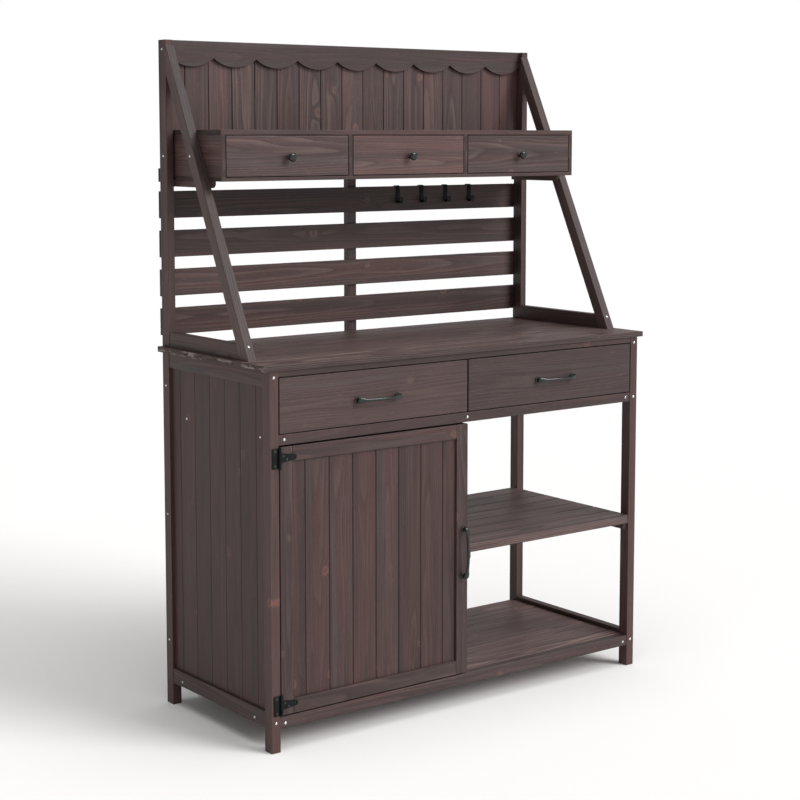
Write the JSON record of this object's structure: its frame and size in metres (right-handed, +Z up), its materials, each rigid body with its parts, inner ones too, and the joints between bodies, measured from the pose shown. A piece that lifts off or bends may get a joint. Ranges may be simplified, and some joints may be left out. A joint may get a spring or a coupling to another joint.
{
  "type": "potting bench",
  "caption": "Stained fir potting bench: cabinet with door, large drawers and open shelves below the worktop, slatted hutch with a small drawer box and scalloped valance above.",
  "frame": {"origin": "floor level, at the middle of the bench's footprint box", "axes": "+X to the right seen from the front, +Y from the front to the back, +Z up"},
  "size_m": [1.184, 0.532, 1.644],
  "materials": {
    "stained_fir": "dark grey-brown stain, satin",
    "plain_fir": "thinly stained, matt",
    "black_metal": "black powder coat, satin",
    "zinc_steel": "bright zinc plate"
  },
  "bodies": {
    "frame": {"leg_front_left": "stained_fir", "leg_front_right": "stained_fir", "leg_back_left": "stained_fir", "leg_back_right": "stained_fir", "side_rails_left": "stained_fir", "side_rails_right": "stained_fir", "back_rails": "stained_fir", "apron_rail": "stained_fir", "drawer_rail": "stained_fir", "front_bottom_rail": "stained_fir", "side_boards": "stained_fir", "cabinet_back_boards": "stained_fir", "partition_posts": "stained_fir", "partition_boards": "stained_fir", "bottom_shelf_boards": "stained_fir", "mid_shelf_front_board": "stained_fir", "mid_shelf_boards": "stained_fir", "shelf_cleats": "stained_fir", "drawer_guides": "stained_fir", "worktop_boards": "stained_fir", "hinge_plates": "black_metal", "hinge_pins": "black_metal", "catch_magnet": "black_metal", "post_left": "stained_fir", "post_right": "stained_fir", "centre_post": "stained_fir", "brace_left": "stained_fir", "brace_right": "stained_fir", "hutch_base_rails": "stained_fir", "back_slats": "stained_fir", "panel_rail": "stained_fir", "hutch_boards": "stained_fir", "valance": "stained_fir", "box_top": "stained_fir", "box_bottom": "stained_fir", "box_uprights": "stained_fir", "box_cleats": "stained_fir", "screws": "zinc_steel"},
    "drawer_left": {"drawer_left_front": "stained_fir", "drawer_left_box": "plain_fir", "drawer_left_pull": "black_metal"},
    "drawer_right": {"drawer_right_front": "stained_fir", "drawer_right_box": "plain_fir", "drawer_right_pull": "black_metal"},
    "door": {"door_stiles": "stained_fir", "door_rails": "stained_fir", "door_boards": "stained_fir", "door_pull": "black_metal", "hinge_straps": "black_metal", "catch_strike": "zinc_steel"},
    "small_drawer_left": {"small_drawer_left": "stained_fir", "knob_left": "black_metal"},
    "small_drawer_middle": {"small_drawer_middle": "stained_fir", "knob_middle": "black_metal"},
    "small_drawer_right": {"small_drawer_right": "stained_fir", "knob_right": "black_metal"},
    "hook_1": {"hook_1": "black_metal"},
    "hook_2": {"hook_2": "black_metal"},
    "hook_3": {"hook_3": "black_metal"},
    "hook_4": {"hook_4": "black_metal"}
  },
  "joints": [
    {"name": "drawer_left_slide", "type": "slide", "parent": "frame", "child": "drawer_left", "axis": [0, -1, 0], "range_m": [0, 0.3]},
    {"name": "drawer_right_slide", "type": "slide", "parent": "frame", "child": "drawer_right", "axis": [0, -1, 0], "range_m": [0, 0.3]},
    {"name": "door_swing", "type": "hinge", "parent": "frame", "child": "door", "pos_m": [-0.55275, -0.244, 0.399], "axis": [0, 0, -1], "range_deg": [0, 170]},
    {"name": "small_left_slide", "type": "slide", "parent": "frame", "child": "small_drawer_left", "axis": [0, -1, 0], "range_m": [0, 0.15]},
    {"name": "small_middle_slide", "type": "slide", "parent": "frame", "child": "small_drawer_middle", "axis": [0, -1, 0], "range_m": [0, 0.15]},
    {"name": "small_right_slide", "type": "slide", "parent": "frame", "child": "small_drawer_right", "axis": [0, -1, 0], "range_m": [0, 0.15]},
    {"name": "hook_1_slide", "type": "slide", "parent": "frame", "child": "hook_1", "axis": [1, 0, 0], "range_m": [-0.03, 0.03]},
    {"name": "hook_2_slide", "type": "slide", "parent": "frame", "child": "hook_2", "axis": [1, 0, 0], "range_m": [-0.03, 0.03]},
    {"name": "hook_3_slide", "type": "slide", "parent": "frame", "child": "hook_3", "axis": [1, 0, 0], "range_m": [-0.03, 0.03]},
    {"name": "hook_4_slide", "type": "slide", "parent": "frame", "child": "hook_4", "axis": [1, 0, 0], "range_m": [-0.03, 0.03]}
  ]
}
